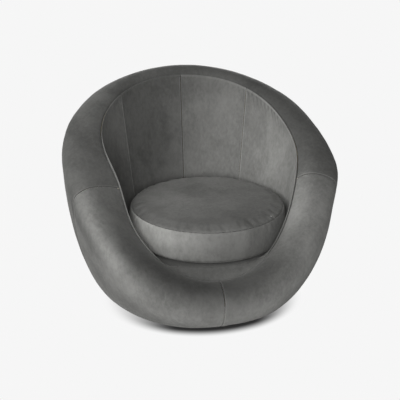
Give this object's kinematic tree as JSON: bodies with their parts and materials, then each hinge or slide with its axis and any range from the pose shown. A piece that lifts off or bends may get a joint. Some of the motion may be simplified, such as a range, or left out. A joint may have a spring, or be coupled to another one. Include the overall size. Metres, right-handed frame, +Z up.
{
  "type": "swivel tub chair",
  "caption": "Round upholstered tub chair with a deep sloping rim roll and a loose round seat cushion, turning on a low black cross base.",
  "frame": {"origin": "on the floor under the swivel axis, at the centre of the chair's footprint", "axes": "+Z up along the swivel axis, -Y towards the front of the chair, +X to the sitter's left"},
  "size_m": [1.0099, 1.0099, 0.806],
  "materials": {
    "velvet": "mid grey velvet",
    "lining": "black non-woven cloth",
    "foam": "cut polyurethane foam",
    "wadding": "white polyester wadding",
    "webbing": "woven elastic webbing",
    "plywood": "birch plywood, raw",
    "fibreboard": "pressed fibreboard, raw",
    "black_steel": "black powder coat, satin",
    "zinc_steel": "zinc plated",
    "bearing_steel": "polished",
    "black_plastic": "moulded, satin",
    "white_plastic": "moulded nylon, matt",
    "zip_metal": "dark nickel"
  },
  "bodies": {
    "base": {"base_cross": "black_steel", "arm_end_plugs": "black_plastic", "floor_glides": "black_plastic", "swivel_lower_plate": "black_steel", "lower_plate_bolts": "zinc_steel", "lower_plate_nuts": "zinc_steel", "swivel_pin": "zinc_steel", "pin_washer": "white_plastic", "pin_nut": "zinc_steel"},
    "shell": {"swivel_upper_plate": "black_steel", "upper_plate_bolts": "zinc_steel", "tee_nuts": "zinc_steel", "base_board": "plywood", "frame_ribs": "plywood", "rib_screws": "zinc_steel", "rim_rail_left": "plywood", "rim_rail_right": "plywood", "skin_board_left": "fibreboard", "skin_board_right": "fibreboard", "liner_board_left": "fibreboard", "liner_board_right": "fibreboard", "deck_ring": "plywood", "webbing_front_to_back": "webbing", "webbing_side_to_side": "webbing", "deck_pad": "foam", "deck_cover": "velvet", "roll_foam_back": "foam", "roll_foam_front_left": "foam", "roll_foam_front_right": "foam", "wall_wadding_left": "wadding", "wall_wadding_right": "wadding", "inner_foam_back_left": "foam", "inner_foam_back_right": "foam", "inner_foam_side_left": "foam", "inner_foam_side_right": "foam", "apron_foam": "foam", "rim_cover_back": "velvet", "rim_cover_front_left": "velvet", "rim_cover_front_right": "velvet", "inner_panel_back_left": "velvet", "inner_panel_back_right": "velvet", "inner_panel_side_left": "velvet", "inner_panel_side_right": "velvet", "apron_panel": "velvet", "dust_cloth": "lining"},
    "ball_ring": {"bearing_balls": "bearing_steel", "ball_cage": "white_plastic"},
    "cushion": {"cushion_top_panel": "velvet", "cushion_bottom_panel": "velvet", "cushion_band": "velvet", "cushion_zip_strips": "velvet", "cushion_zip_coil": "black_plastic", "cushion_wadding": "wadding", "cushion_foam": "foam"},
    "zip_slider": {"zip_slider": "zip_metal", "zip_puller": "zip_metal"}
  },
  "joints": [
    {"name": "shell_swivel", "type": "hinge", "parent": "base", "child": "shell", "pos_m": [0, 0, 0.05], "axis": [0, 0, 1], "continuous": true},
    {"name": "ball_ring_roll", "type": "hinge", "parent": "base", "child": "ball_ring", "pos_m": [0, 0, 0.043], "axis": [0, 0, 1], "continuous": true},
    {"name": "cushion_lift_out", "type": "slide", "parent": "shell", "child": "cushion", "axis": [0, 0, 1], "range_m": [0, 0.36]},
    {"name": "zip_slide", "type": "hinge", "parent": "cushion", "child": "zip_slider", "pos_m": [0.02966, -0.02376, 0.3293], "axis": [0, 0, 1], "range_deg": [0, 103]}
  ],
  "couplings": [
    {"joint": "ball_ring_roll", "follows": "shell_swivel", "ratio": 0.5}
  ]
}
